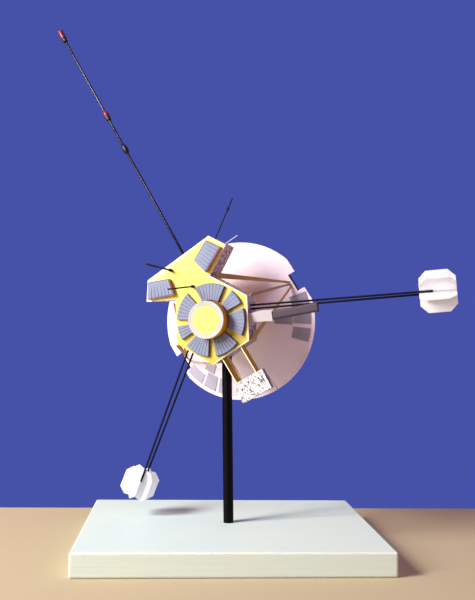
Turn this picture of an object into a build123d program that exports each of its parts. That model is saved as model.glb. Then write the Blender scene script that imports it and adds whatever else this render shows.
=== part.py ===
from build123d import *
from math import cos, sin, radians, sqrt
import os

# Card display model of a dish-antenna deep-space probe on a dowel and a painted board.
# Millimetres, +Z up. The origin is the middle of the board's underside, the viewer's side is -Y.

# Stand
board_length = 225.5
board_width = 178.0
board_thick = 17.5
board_round = 1.5
post_diameter = 8.0
post_foot_x = 0.2
post_foot_y = 1.2
post_socket = 10.0
post_insert = 9.0
post_fit = 0.15

# Pose of the craft: centre of its aft deck, heading, tilt and roll of its spin axis
craft_x = -16.5
craft_y = -4.7
craft_height = 177.6
craft_azimuth = 24.5
craft_tilt = -0.8
craft_roll = 33.4

# Hexagonal bus with the flared experiment bay
hex_side = 35.5
bus_depth = 21.6
deck_thick = 1.0
deck_overhang = 0.5
bay_wall = 26.0
bay_end = 16.6
bay_lean = 2.0
post_seat_x = -11.0
post_seat_depth = 15.6

# Launch ring on the aft deck
ring_radius = 14.9
ring_wall_thick = 1.7
ring_height = 12.0
rim_width = 3.8
rim_thick = 0.8
rim_step = 0.15
cap_recess = 0.2
cap_thick = 1.0

# Thermal louvers
louver_outer = 29.2
louver_inner = 15.4
louver_thick = 2.0
bay_louver_thick = 4.0

# Dish: a shallow card cone with a flat rim and a notch at each side
dish_radius = 68.1
dish_rim_z = -61.6
dish_depth = 22.0
dish_thick = 1.2
dish_rim_width = 2.6
dish_flat_radius = 10.5
right_chord_cut = 3.1
left_chord_cut = 2.1
notch_width = 16.0
notch_depth = 9.1
notch_right_y = 0.0
notch_left_y = -2.8
notch_rod_diameter = 1.4
hub_radius = 9.0
panel_thick = 0.4
panel_gap = 0.1

# Struts from the deck corners to the rim notches
strut_thick = 0.8
strut_foot_z = -4.6
strut_gap = 0.4
strut_end_step = 2.0

# Feed in front of the dish
feed_distance = 55.0
feed_strut_radius = 46.0
feed_strut_diameter = 1.4
feed_box_size = 12.0
feed_box_thick = 5.0
horn_mouth = 7.0
horn_throat = 3.0
horn_length = 14.0

# Generator booms and the finned generators
boom_rod_diameter = 1.6
boom_root_z = -9.0
generator_clear = 25.8
fin_length = 27.2
fin_span = 32.0
fin_chamfer = 5.5
fin_thick = 0.8
rod_clear = 0.3

# Magnetometer boom
mag_rod_diameter = 1.5
mag_root_x = 5.0
mag_root_z = -9.0
mag_tip_x = 4.7
mag_tip_y = 315.0
mag_tip_z = -35.0
mag_cap_length = 11.0
mag_cap_diameter = 4.2
mag_bore_clear = 0.1
bead_length = 8.0
bead_diameter = 4.2

# Star sensor with its long shade
sensor_length = 19.0
sensor_width = 7.5
sensor_depth = 6.0
sensor_z = -7.0
sensor_across = 1.3
sensor_turn = 18.0
shade_length = 36.0
shade_width = 7.2
shade_bend = 7.0

# Instrument bracket on the lower facet
rail_spacing = 19.0
rail_reach = 53.0
rail_depth = 10.5
rail_thick = 0.8
rail_lip = 3.2
box_width = 26.8
box_height = 16.3
box_place_x = 0.6
box_turn = -4.0
box_depth = 8.0
box_aft_z = -1.5

os.makedirs("parts", exist_ok=True)


def export(part, name):
    part.part.label = name
    export_step(part.part, f"parts/{name}.step")


# Frame of the craft: local z is the spin axis, pointing aft; local y is the magnetometer boom's side
spin_axis = Vector(
    -sin(radians(craft_azimuth)) * cos(radians(craft_tilt)),
    -cos(radians(craft_azimuth)) * cos(radians(craft_tilt)),
    sin(radians(craft_tilt)),
)
level_axis = Vector(cos(radians(craft_azimuth)), -sin(radians(craft_azimuth)), 0)
upright_axis = spin_axis.cross(level_axis)
side_axis = level_axis * cos(radians(craft_roll)) + upright_axis * sin(radians(craft_roll))
craft = Plane(origin=(craft_x, craft_y, craft_height), x_dir=side_axis, z_dir=spin_axis)


def spot(x, y, z):
    """Point of the craft's frame in the model's frame."""
    return craft.from_local_coords(Vector(x, y, z))


def heading(x, y, z):
    """Direction of the craft's frame in the model's frame."""
    return spot(x, y, z) - spot(0, 0, 0)


def rod_plane(start, end):
    """Plane across a rod, at its start and facing its end."""
    return Plane(origin=start, z_dir=end - start)


def spun(plane, angle):
    """The plane turned in itself, about its own z."""
    x_dir = plane.x_dir * cos(radians(angle)) + plane.y_dir * sin(radians(angle))
    return Plane(origin=plane.origin, x_dir=x_dir, z_dir=plane.z_dir)


def rolled(plane, angle):
    """The plane rolled about its own x."""
    z_dir = plane.z_dir * cos(radians(angle)) - plane.y_dir * sin(radians(angle))
    return Plane(origin=plane.origin, x_dir=plane.x_dir, z_dir=z_dir)


def polar(radius, angle):
    return (radius * cos(radians(angle)), radius * sin(radians(angle)))


apothem = hex_side * sqrt(3) / 2
wall_apothem = apothem - deck_overhang
wall_radius = wall_apothem * 2 / sqrt(3)
deck_floor = -deck_thick
front_top = -(bus_depth - deck_thick)

# Deck outline: the hexagon's corners, with the bay's four corners between those at 60 and 120 degrees;
# the bay leans a little to the right
bay_corner_x = hex_side / 2 + bay_wall * cos(radians(30))
bay_corner_y = apothem + bay_wall * sin(radians(30))
bay_top_x = bay_corner_x - bay_end * sin(radians(30))
bay_top_y = bay_corner_y + bay_end * cos(radians(30))
deck_outline = [
    polar(hex_side, 0),
    polar(hex_side, 60),
    (bay_corner_x + bay_lean, bay_corner_y),
    (bay_top_x + bay_lean, bay_top_y),
    (-bay_top_x + bay_lean, bay_top_y),
    (-bay_corner_x, bay_corner_y),
    polar(hex_side, 120),
    polar(hex_side, 180),
    polar(hex_side, 240),
    polar(hex_side, 300),
]

# Post axis: from its foot on the board to its seat in the bus's lower facet
post_seat = spot(post_seat_x, -wall_apothem, -post_seat_depth)
post_foot = Vector(post_foot_x, post_foot_y, board_thick)
post_axis = (post_seat - post_foot).normalized()
post_start = post_foot - post_axis * (post_socket - 0.5)
post_end = post_seat + post_axis * (post_insert - 0.5)

# Stand: board with softened edges and a blind hole for the post
with BuildPart() as base_board:
    with BuildSketch():
        Rectangle(board_length, board_width)
    extrude(amount=board_thick)
    fillet(base_board.edges(), radius=board_round)
    with BuildSketch(Plane(origin=post_foot + post_axis * post_socket, z_dir=-post_axis)):
        Circle(post_diameter / 2 + post_fit)
    extrude(amount=post_socket * 2, mode=Mode.SUBTRACT)
export(base_board, "base_board")

with BuildPart() as post:
    with BuildSketch(rod_plane(post_start, post_end)):
        Circle(post_diameter / 2)
    extrude(amount=(post_end - post_start).length)
    chamfer(post.edges().filter_by(GeomType.CIRCLE), length=0.5)
export(post, "post")

# Bus walls: the hexagon stops short of the deck's edge and takes the post from below
with BuildPart() as bus_body:
    with BuildSketch(craft.offset(front_top)):
        RegularPolygon(wall_radius, 6)
    extrude(amount=deck_floor - front_top)
    with BuildSketch(Plane(origin=post_seat - post_axis * post_insert, z_dir=post_axis)):
        Circle(post_diameter / 2 + post_fit)
    extrude(amount=post_insert * 2, mode=Mode.SUBTRACT)
export(bus_body, "bus_body")

with BuildPart() as experiment_bay:
    with BuildSketch(craft.offset(front_top)):
        with BuildLine():
            Polyline(*deck_outline, close=True)
        make_face()
        offset(amount=-deck_overhang, kind=Kind.INTERSECTION)
        with Locations((0, wall_apothem - hex_side * 2)):
            Rectangle(hex_side * 4, hex_side * 4, mode=Mode.SUBTRACT)
    extrude(amount=deck_floor - front_top)
export(experiment_bay, "experiment_bay")

# Decks: one flat card outline at each end of the bus; the front one is flush with the walls
for deck_name, deck_z, overhang in [("aft_deck", deck_floor, deck_overhang), ("front_deck", -bus_depth, 0)]:
    with BuildPart() as deck:
        with BuildSketch(craft.offset(deck_z)):
            with BuildLine():
                Polyline(*deck_outline, close=True)
            make_face()
            offset(amount=overhang - deck_overhang, kind=Kind.INTERSECTION)
        extrude(amount=deck_thick)
    export(deck, deck_name)

# Launch ring: rolled wall, white rim in two steps, and a yellow cap set a little below the rim
rim_inner = ring_radius - rim_width
with BuildPart() as ring_wall:
    with BuildSketch(craft):
        Circle(ring_radius)
        Circle(ring_radius - ring_wall_thick, mode=Mode.SUBTRACT)
    extrude(amount=ring_height - rim_thick)
export(ring_wall, "ring_wall")

with BuildPart() as ring_rim:
    with BuildSketch(craft.offset(ring_height - rim_thick)):
        Circle(ring_radius)
        Circle(rim_inner, mode=Mode.SUBTRACT)
    extrude(amount=rim_thick)
    with BuildSketch(craft.offset(ring_height)):
        Circle(ring_radius - ring_wall_thick)
        Circle(rim_inner, mode=Mode.SUBTRACT)
    extrude(amount=-rim_step, mode=Mode.SUBTRACT)
export(ring_rim, "ring_rim")

with BuildPart() as ring_cap:
    with BuildSketch(craft.offset(ring_height - cap_recess - cap_thick)):
        Circle(rim_inner - 0.1 if cap_recess < rim_thick else ring_radius - ring_wall_thick - 0.1)
    extrude(amount=cap_thick)
export(ring_cap, "ring_cap")

# Radial louver boxes round the ring: letter, middle angle, angle covered
louver_sets = [
    ("a", 58.7, 51),
    ("b", 7.0, 25),
    ("c", -36.0, 43),
    ("d", -92.0, 42),
    ("e", -147.0, 42),
    ("f", 168.7, 23),
    ("g", 123.7, 46),
]
for letter, middle, covered in louver_sets:
    first = middle - covered / 2
    last = middle + covered / 2
    with BuildPart() as louver:
        with BuildSketch(craft):
            with BuildLine():
                CenterArc((0, 0), louver_outer, first, covered)
                Line(polar(louver_outer, last), polar(louver_inner, last))
                CenterArc((0, 0), louver_inner, first, covered)
                Line(polar(louver_inner, first), polar(louver_outer, first))
            make_face()
        extrude(amount=louver_thick)
    export(louver, f"louver_{letter}")

# Louver boxes on the bay, wider along its slanted walls: corners on the right side, mirrored for the left
bay_louver_corners = [(30.2, 55.3), (37.7, 43.4), (16.3, 33.8), (13.2, 47.5)]
for side_name, side in [("right", 1), ("left", -1)]:
    with BuildPart() as bay_louver:
        with BuildSketch(craft):
            with BuildLine():
                Polyline(*[(side * x + bay_lean / 2, y) for x, y in bay_louver_corners], close=True)
            make_face()
        extrude(amount=bay_louver_thick)
    export(bay_louver, f"bay_louver_{side_name}")

# Dish: half section of the card cone, from the flat middle to the flat rim
cone_radius = dish_radius - dish_rim_width
dish_top_z = dish_rim_z + dish_depth
slope = dish_depth / (cone_radius - dish_flat_radius)
right_chord_x = dish_radius - right_chord_cut
left_chord_x = dish_radius - left_chord_cut
notch_floor_x = dish_radius - notch_depth
section = Plane(origin=craft.origin, x_dir=craft.x_dir, z_dir=-craft.y_dir)
with BuildPart() as dish:
    with BuildSketch(section):
        with BuildLine():
            Polyline(
                (0, dish_top_z),
                (dish_flat_radius, dish_top_z),
                (cone_radius, dish_rim_z),
                (dish_radius, dish_rim_z),
                (dish_radius, dish_rim_z - dish_thick),
                (cone_radius - dish_thick * slope / 2, dish_rim_z - dish_thick),
                (dish_flat_radius - dish_thick * slope / 2, dish_top_z - dish_thick),
                (0, dish_top_z - dish_thick),
                close=True,
            )
        make_face()
    revolve(axis=Axis(craft.origin, craft.z_dir))
    with BuildSketch(craft.offset(dish_rim_z - 2 * dish_thick)):
        with Locations((right_chord_x + hex_side, 0), (-left_chord_x - hex_side, 0)):
            Rectangle(hex_side * 2, dish_radius * 2)
        with Locations((notch_floor_x + hex_side, notch_right_y), (-notch_floor_x - hex_side, notch_left_y)):
            Rectangle(hex_side * 2, notch_width)
    extrude(amount=dish_depth, mode=Mode.SUBTRACT)
export(dish, "dish")

# Black bar across each notch, against its floor
for side_name, side, notch_y in [("right", 1, notch_right_y), ("left", -1, notch_left_y)]:
    bar_x = side * (notch_floor_x + notch_rod_diameter / 2 + 0.1)
    bar_z = dish_rim_z + slope * (cone_radius - abs(bar_x)) - notch_rod_diameter / 2
    bar_start = spot(bar_x, notch_y - notch_width / 2 + 0.2, bar_z)
    bar_end = spot(bar_x, notch_y + notch_width / 2 - 0.2, bar_z)
    with BuildPart() as notch_bar:
        with BuildSketch(rod_plane(bar_start, bar_end)):
            Circle(notch_rod_diameter / 2)
        extrude(amount=(bar_end - bar_start).length)
    export(notch_bar, f"notch_bar_{side_name}")

# Space taken by the dish and all ahead of it, a hair clear of its back, used to trim what lands there
with BuildPart() as dish_space:
    with BuildSketch(section):
        with BuildLine():
            Polyline(
                (0, dish_top_z + panel_gap),
                (dish_flat_radius, dish_top_z + panel_gap),
                (cone_radius, dish_rim_z + panel_gap),
                (dish_radius * 2, dish_rim_z + panel_gap),
                (dish_radius * 2, dish_rim_z * 2),
                (0, dish_rim_z * 2),
                close=True,
            )
        make_face()
    revolve(axis=Axis(craft.origin, craft.z_dir))

# Sensor panels on the back of the dish: middle angle, angle covered, inner and outer edge as parts of the cone's radius
panel_table = [
    (-15.7, 10.8, 0.785, 0.992),
    (-29.8, 10.6, 0.785, 0.992),
    (-43.5, 10.2, 0.785, 0.992),
    (-30.5, 12.0, 0.561, 0.771),
    (-101.0, 12.5, 0.785, 0.992),
    (-134.0, 10.4, 0.785, 0.992),
    (-147.2, 10.4, 0.785, 0.992),
    (-162.0, 14.6, 0.845, 0.992),
    (-152.0, 11.0, 0.637, 0.771),
]
panel_lift = panel_gap * sqrt(1 + slope * slope)
panel_rise = panel_thick * sqrt(1 + slope * slope)
with BuildPart() as dish_panels:
    for middle, covered, inner_share, outer_share in panel_table:
        inner = cone_radius * inner_share
        outer = cone_radius * outer_share
        inner_z = dish_rim_z + slope * (cone_radius - inner) + panel_lift
        outer_z = dish_rim_z + slope * (cone_radius - outer) + panel_lift
        turned = spun(craft, middle - covered / 2)
        with BuildSketch(Plane(origin=craft.origin, x_dir=turned.x_dir, z_dir=-turned.y_dir)):
            with BuildLine():
                Polyline(
                    (inner, inner_z),
                    (outer, outer_z),
                    (outer, outer_z + panel_rise),
                    (inner, inner_z + panel_rise),
                    close=True,
                )
            make_face()
        revolve(axis=Axis(craft.origin, craft.z_dir), revolution_arc=covered)
export(dish_panels, "dish_panels")

# Hub between the front deck and the middle of the dish
with BuildPart() as dish_hub:
    with BuildSketch(craft.offset(dish_top_z)):
        Circle(hub_radius)
    extrude(amount=-bus_depth - dish_top_z)
export(dish_hub, "dish_hub")

# Card struts to the notches, a tripod at each side:
# name, corner angle, direction its foot stands off, part of its width it stands off,
# place of its end along the notch, foot width, end width, roll
strut_table = [
    ("upper", 60, -15, 0.65, 2.0, 4.6, 1.6, 10),
    ("middle", 0, 0, 0.4, 0.0, 4.0, 1.3, 75),
    ("lower", -60, -30, 0.2, -2.0, 3.2, 1.3, 40),
]
strut_end_x = notch_floor_x - strut_end_step
for side_name, side, notch_y in [("right", 1, notch_right_y), ("left", -1, notch_left_y)]:
    for strut_name, corner, off_angle, off_share, end_y, foot_width, end_width, roll in strut_table:
        corner_x, corner_y = polar(wall_radius, corner)
        gap_x, gap_y = polar(strut_gap + foot_width * off_share, off_angle)
        end_z = dish_rim_z + slope * (cone_radius - strut_end_x)
        foot = spot(side * (corner_x + gap_x), corner_y + gap_y, strut_foot_z)
        tip = spot(side * strut_end_x, notch_y + end_y, end_z)
        reach = (tip - foot).length
        flat = heading(0, 0, 1).cross(tip - foot).normalized()
        strut_plane = Plane(origin=foot, x_dir=tip - foot, z_dir=(tip - foot).cross(flat))
        strut_plane = rolled(strut_plane, side * roll)
        with BuildPart() as strut:
            with BuildSketch(strut_plane):
                with BuildLine():
                    Polyline(
                        (0, -foot_width / 2),
                        (reach + 2, -end_width / 2),
                        (reach + 2, end_width / 2),
                        (0, foot_width / 2),
                        close=True,
                    )
                make_face()
            extrude(amount=strut_thick / 2, both=True)
            add(dish_space.part, mode=Mode.SUBTRACT)
        export(strut, f"strut_{side_name}_{strut_name}")

# Feed ahead of the dish: box and horn on three struts that stand on the inside of the cone
feed_z = dish_top_z - feed_distance
strut_root_z = dish_rim_z + slope * (cone_radius - feed_strut_radius) - dish_thick
with BuildPart() as feed_box:
    with BuildSketch(craft.offset(feed_z)):
        RegularPolygon(feed_box_size, 6)
    extrude(amount=feed_box_thick)
export(feed_box, "feed_box")

with BuildPart() as feed_horn:
    with BuildSketch(section):
        with BuildLine():
            Polyline(
                (0, feed_z),
                (horn_throat, feed_z),
                (horn_throat, feed_z - horn_length / 3),
                (horn_mouth, feed_z - horn_length),
                (horn_mouth - 0.9, feed_z - horn_length),
                (horn_throat - 0.9, feed_z - horn_length / 3),
                (0, feed_z - horn_length / 3),
                close=True,
            )
        make_face()
    revolve(axis=Axis(craft.origin, craft.z_dir))
export(feed_horn, "feed_horn")

with BuildPart() as dish_front:
    with BuildSketch(section):
        with BuildLine():
            Polyline(
                (0, dish_top_z - dish_thick),
                (dish_flat_radius - dish_thick * slope / 2, dish_top_z - dish_thick),
                (cone_radius - dish_thick * slope / 2, dish_rim_z - dish_thick),
                (dish_radius, dish_rim_z - dish_thick),
                (dish_radius, 0),
                (0, 0),
                close=True,
            )
        make_face()
    revolve(axis=Axis(craft.origin, craft.z_dir))

for number, angle in [(1, 90), (2, 210), (3, 330)]:
    root_x, root_y = polar(feed_strut_radius, angle)
    top_x, top_y = polar(feed_box_size * 0.72, angle)
    strut_top = spot(top_x, top_y, feed_z + feed_box_thick)
    strut_root = spot(root_x, root_y, strut_root_z)
    beyond = strut_root + (strut_root - strut_top).normalized() * 4
    with BuildPart() as feed_strut:
        with BuildSketch(rod_plane(beyond, strut_top)):
            Circle(feed_strut_diameter / 2)
        extrude(amount=(strut_top - beyond).length + 4)
        add(dish_front.part, mode=Mode.SUBTRACT)
        with BuildSketch(craft.offset(feed_z + feed_box_thick)):
            Circle(feed_box_size * 2)
        extrude(amount=-feed_box_thick * 4, mode=Mode.SUBTRACT)
    export(feed_strut, f"feed_strut_{number}")

# Generator booms: the left one's reach leaves its generator clear above the board, the right one's goes with it.
# side, facet angle, part of the reach, place across and height of the generator, first fin's angle, size of the fins
boom_table = [
    ("left", 210, 1.0, -3.1, -5.0, 30.4, 0.89),
    ("right", -30, 1.172, 13.0, -22.0, -4.6, 1.0),
]
# Two rods each: side, name, root's place across the facet, groove's angle from the first fin,
# part of the groove's depth off the axis, length beside the fins
rod_table = [
    ("left", "a", 10.7, 90, 1, 10.0),
    ("left", "b", 5.6, 150, 1, 2.0),
    ("right", "a", 10.3, 90, 1, 10.0),
    ("right", "b", 7.3, 184.6, 0.47, -rod_clear),
]
groove_depth = (boom_rod_diameter / 2 + fin_thick / 2 + rod_clear) / sin(radians(30))
lower_out = heading(*polar(1, 210), 0)
lower_over = heading(-sin(radians(30)), cos(radians(30)), 0)
lower_across, lower_height = boom_table[0][3], boom_table[0][4]
generator_drop = craft_height - board_thick - generator_clear
lower_reach = -(generator_drop + lower_across * lower_over.Z + lower_height * spin_axis.Z) / lower_out.Z
for side_name, facet, reach_share, across, height, first_fin, fin_share in boom_table:
    reach = lower_reach * reach_share
    out_x, out_y = polar(1, facet)
    over_x, over_y = (abs(out_y), abs(out_x))
    over_x = over_x if out_x > 0 else -over_x
    rods = [row for row in rod_table if row[0] == side_name]
    root_mid = (rods[0][2] + rods[1][2]) / 2
    root = spot(
        wall_apothem * out_x + root_mid * over_x,
        wall_apothem * out_y + root_mid * over_y,
        boom_root_z,
    )
    centre = spot(reach * out_x + across * over_x, reach * out_y + across * over_y, height)
    boom_axis = (centre - root).normalized()
    over = heading(over_x, over_y, 0)
    normal = boom_axis.cross(over).normalized()
    if normal.dot(spin_axis) < 0:
        normal = -normal
    across_axis = (over - boom_axis * over.dot(boom_axis)).normalized()
    # Three chamfered plates cross on the boom's axis and make six fins
    with BuildPart() as generator:
        for fin_angle in (first_fin, first_fin + 60, first_fin + 120):
            spread = across_axis * cos(radians(fin_angle)) + normal * sin(radians(fin_angle))
            with BuildSketch(Plane(origin=centre, x_dir=boom_axis, z_dir=boom_axis.cross(spread))):
                fin = Rectangle(fin_length * fin_share, fin_span * fin_share)
                chamfer(fin.vertices(), length=fin_chamfer * fin_share)
            extrude(amount=fin_thick / 2, both=True)
    export(generator, f"generator_{side_name}")
    # A rod lies in a groove between two fins, or butts on their end, and stops at the bus wall
    for rod_side, rod_name, root_place, groove_turn, depth_share, beside in rods:
        groove = first_fin + groove_turn
        groove_axis = across_axis * cos(radians(groove)) + normal * sin(radians(groove))
        rod_end = centre - boom_axis * (fin_length * fin_share / 2 - beside) + groove_axis * groove_depth * depth_share
        rod_root = spot(
            (wall_apothem - boom_rod_diameter) * out_x + root_place * over_x,
            (wall_apothem - boom_rod_diameter) * out_y + root_place * over_y,
            boom_root_z,
        )
        with BuildPart() as boom_rod:
            with BuildSketch(rod_plane(rod_root, rod_end)):
                Circle(boom_rod_diameter / 2)
            extrude(amount=(rod_end - rod_root).length)
            add(bus_body.part, mode=Mode.SUBTRACT)
        export(boom_rod, f"boom_{side_name}_{rod_name}")

# Magnetometer boom: a rod with a cap and two beads threaded on it
mag_root = spot(mag_root_x, bay_top_y - deck_overhang - mag_rod_diameter, mag_root_z)
mag_tip = spot(mag_tip_x, mag_tip_y, mag_tip_z)
mag_axis = (mag_tip - mag_root).normalized()
mag_length = (mag_tip - mag_root).length
with BuildPart() as mag_boom:
    with BuildSketch(rod_plane(mag_root, mag_tip)):
        Circle(mag_rod_diameter / 2)
    extrude(amount=mag_length - mag_cap_length / 2)
    add(experiment_bay.part, mode=Mode.SUBTRACT)
export(mag_boom, "mag_boom")

mag_bore = mag_rod_diameter / 2 + mag_bore_clear
with BuildPart() as mag_sensor:
    with BuildSketch(rod_plane(mag_tip - mag_axis * mag_cap_length, mag_tip)):
        Circle(mag_cap_diameter / 2)
    extrude(amount=mag_cap_length)
    fillet(mag_sensor.edges().filter_by(GeomType.CIRCLE), radius=mag_cap_diameter * 0.3)
    with BuildSketch(rod_plane(mag_tip - mag_axis * mag_cap_length * 1.1, mag_tip)):
        Circle(mag_bore)
    extrude(amount=mag_cap_length * 0.6 + 0.2, mode=Mode.SUBTRACT)
export(mag_sensor, "mag_sensor")

# Beads: name, part of the boom's length from the root
for bead_name, along in [("bead_red", 0.602), ("bead_black", 0.452)]:
    bead_centre = mag_root + mag_axis * mag_length * along
    bead_start = bead_centre - mag_axis * bead_length / 2
    with BuildPart() as bead:
        with BuildSketch(rod_plane(bead_start, mag_tip)):
            Circle(bead_diameter / 2)
        extrude(amount=bead_length)
        fillet(bead.edges().filter_by(GeomType.CIRCLE), radius=bead_diameter * 0.3)
        with BuildSketch(rod_plane(bead_start, mag_tip)):
            Circle(mag_bore)
        extrude(amount=bead_length, mode=Mode.SUBTRACT)
    export(bead, bead_name)

# Pins and whip aerials: name, start, end, diameter, bead place along it or none, bead diameter
aerial_table = [
    ("pin_bay", (-7.9, 53.0, 0.0), (-8.7, 56.0, 40.0), 1.5, 0.03, 2.6),
    ("pin_deck", (1.3, 31.3, 0.0), (-1.0, 27.3, 47.0), 1.3, 0.03, 2.4),
    ("whip_long", (36.0, 53.4, -3.5), (66.2, 72.8, -3.5), 1.0, 0.74, 2.0),
    ("whip_short", (40.2, 45.5, -3.5), (53.7, 45.2, -3.5), 0.8, None, 0),
]
for aerial_name, start, end, diameter, bead_along, aerial_bead in aerial_table:
    aerial_start = spot(*start)
    aerial_end = spot(*end)
    aerial_axis = aerial_end - aerial_start
    with BuildPart() as aerial:
        with BuildSketch(rod_plane(aerial_start - aerial_axis.normalized() * 3, aerial_end)):
            Circle(diameter / 2)
        extrude(amount=aerial_axis.length + 3)
        if bead_along is not None:
            bead_at = aerial_start + aerial_axis * bead_along
            with BuildSketch(rod_plane(bead_at - aerial_axis.normalized() * aerial_bead * 0.7, aerial_end)):
                Circle(aerial_bead / 2)
            extrude(amount=aerial_bead * 1.4)
        if start[2] < 0:
            add(experiment_bay.part, mode=Mode.SUBTRACT)
        else:
            with BuildSketch(craft):
                Circle(hex_side * 3)
            extrude(amount=-bus_depth, mode=Mode.SUBTRACT)
    export(aerial, aerial_name)

# Star sensor box on the facet at -30 degrees, and the round-nosed shade that carries on from it
sensor_out = heading(*polar(1, -30), 0)
sensor_over = heading(*polar(1, 60), 0)
sensor_foot = spot(*polar(wall_apothem, -30), sensor_z) + sensor_over * sensor_across
sensor_root = Plane(origin=sensor_foot, x_dir=sensor_over, z_dir=sensor_out)
with BuildPart() as star_sensor:
    with BuildSketch(spun(sensor_root, sensor_turn)):
        Rectangle(sensor_width, sensor_depth)
    extrude(amount=sensor_length)
export(star_sensor, "star_sensor")

shade_out = heading(*polar(1, shade_bend - 30), 0)
shade_over = heading(*polar(1, shade_bend + 60), 0)
shade_start = sensor_root.origin + sensor_out * sensor_length + shade_out * 0.6
shade_plane = Plane(origin=shade_start, x_dir=shade_over, z_dir=shade_out)
with BuildPart() as sensor_shade:
    with BuildSketch(shade_plane):
        Rectangle(shade_width, sensor_depth)
    extrude(amount=shade_length)
    fillet(sensor_shade.edges().filter_by(Axis(shade_plane.origin, shade_plane.z_dir)), radius=sensor_depth * 0.3)
export(sensor_shade, "sensor_shade")

# Instrument bracket: two angle rails on the lower facet carry a foil box at their ends, turned a little
box_middle = Location((box_place_x, -rail_reach - box_height / 2 - 0.6), box_turn)
with BuildPart() as foil_box:
    with BuildSketch(craft.offset(box_aft_z - box_depth)):
        with Locations(box_middle):
            Rectangle(box_width, box_height)
    extrude(amount=box_depth)
    fillet(foil_box.edges().group_by(Axis(craft.origin, craft.z_dir))[0], radius=2.0)
export(foil_box, "foil_box")

for side_name, side in [("right", 1), ("left", -1)]:
    web_x = side * (rail_spacing / 2 - rail_thick / 2)
    lip_x = side * (rail_spacing / 2 - rail_lip / 2)
    rail_length = rail_reach + rail_lip - wall_apothem
    rail_y = -wall_apothem - rail_length / 2
    with BuildPart() as rail:
        with BuildSketch(craft.offset(-rail_depth)):
            with Locations((web_x, rail_y)):
                Rectangle(rail_thick, rail_length)
        extrude(amount=rail_depth - deck_thick)
        with BuildSketch(craft.offset(-rail_depth)):
            with Locations((lip_x, rail_y)):
                Rectangle(rail_lip, rail_length)
        extrude(amount=rail_thick)
        # Both rails stop at the box's near side
        with BuildSketch(craft.offset(-rail_depth)):
            with Locations(box_middle):
                Rectangle(box_width * 2, box_height)
        extrude(amount=rail_depth, mode=Mode.SUBTRACT)
    export(rail, f"rail_{side_name}")
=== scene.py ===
from math import atan2, cos, hypot, radians, sin, sqrt

import bpy
from bpy.props import FloatProperty, FloatVectorProperty, PointerProperty
from mathutils import Matrix, Vector


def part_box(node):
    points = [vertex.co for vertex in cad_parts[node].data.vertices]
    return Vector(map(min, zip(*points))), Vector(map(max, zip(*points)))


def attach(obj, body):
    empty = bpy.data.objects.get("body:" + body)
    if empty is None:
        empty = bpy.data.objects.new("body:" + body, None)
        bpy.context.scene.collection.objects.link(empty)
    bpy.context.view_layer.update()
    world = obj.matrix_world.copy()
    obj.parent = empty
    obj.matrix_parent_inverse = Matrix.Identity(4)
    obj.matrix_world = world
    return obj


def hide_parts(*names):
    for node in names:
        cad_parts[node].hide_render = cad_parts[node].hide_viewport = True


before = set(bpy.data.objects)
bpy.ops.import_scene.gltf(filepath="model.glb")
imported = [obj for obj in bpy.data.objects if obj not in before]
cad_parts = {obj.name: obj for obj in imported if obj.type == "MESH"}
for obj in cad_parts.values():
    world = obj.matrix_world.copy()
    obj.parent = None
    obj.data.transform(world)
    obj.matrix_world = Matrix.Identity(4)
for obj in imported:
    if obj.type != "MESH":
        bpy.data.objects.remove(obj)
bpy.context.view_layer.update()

bl_info = {
    "name": "Card space probe on a stand",
    "version": (1, 0, 0),
    "blender": (4, 5, 0),
    "location": "3D View > Sidebar > Probe",
    "description": "Finishes, small pieces and studio for a card display model of a dish-antenna probe",
    "category": "Object",
}

# Place and turn of the craft: its local z is the spin axis, pointing aft
CRAFT_PLACE = Vector((-0.0165, -0.0047, 0.1776))
CRAFT_AZIMUTH, CRAFT_TILT, CRAFT_ROLL = radians(24.5), radians(-0.8), radians(33.4)
spin_axis = Vector((
    -sin(CRAFT_AZIMUTH) * cos(CRAFT_TILT),
    -cos(CRAFT_AZIMUTH) * cos(CRAFT_TILT),
    sin(CRAFT_TILT),
))
level_axis = Vector((cos(CRAFT_AZIMUTH), -sin(CRAFT_AZIMUTH), 0))
upright_axis = spin_axis.cross(level_axis)
side_axis = level_axis * cos(CRAFT_ROLL) + upright_axis * sin(CRAFT_ROLL)
CRAFT_TURN = Matrix((side_axis, spin_axis.cross(side_axis), spin_axis)).transposed()

MM = 0.001

# Aft deck in millimetres: side of the hexagon, slanted and outer side of the bay, and its lean to the right
HEX_SIDE = 35.5
BAY_WALL = 26.0
BAY_END = 16.6
BAY_LEAN = 2.0


def spot(x, y, z):
    """Point of the craft's frame, given in millimetres, in the model's frame."""
    return CRAFT_PLACE + CRAFT_TURN @ (Vector((x, y, z)) * MM)


def srgb(red, green, blue):
    """Linear colour of an 8-bit screen colour."""
    parts = [value / 255 for value in (red, green, blue)]
    return [value / 12.92 if value <= 0.04045 else ((value + 0.055) / 1.055) ** 2.4 for value in parts]


# Settings


def colour_setting(name, red, green, blue, description):
    return FloatVectorProperty(
        name=name, description=description, default=srgb(red, green, blue), min=0, max=1,
        subtype="COLOR", size=3,
    )


def length_setting(name, millimetres, least, most, description):
    return FloatProperty(
        name=name, description=description, default=millimetres * MM, min=least * MM, max=most * MM,
        unit="LENGTH", subtype="DISTANCE",
    )


def power_setting(name, watts, description):
    return FloatProperty(name=name, description=description, default=watts, min=0, max=500, unit="POWER")


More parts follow.
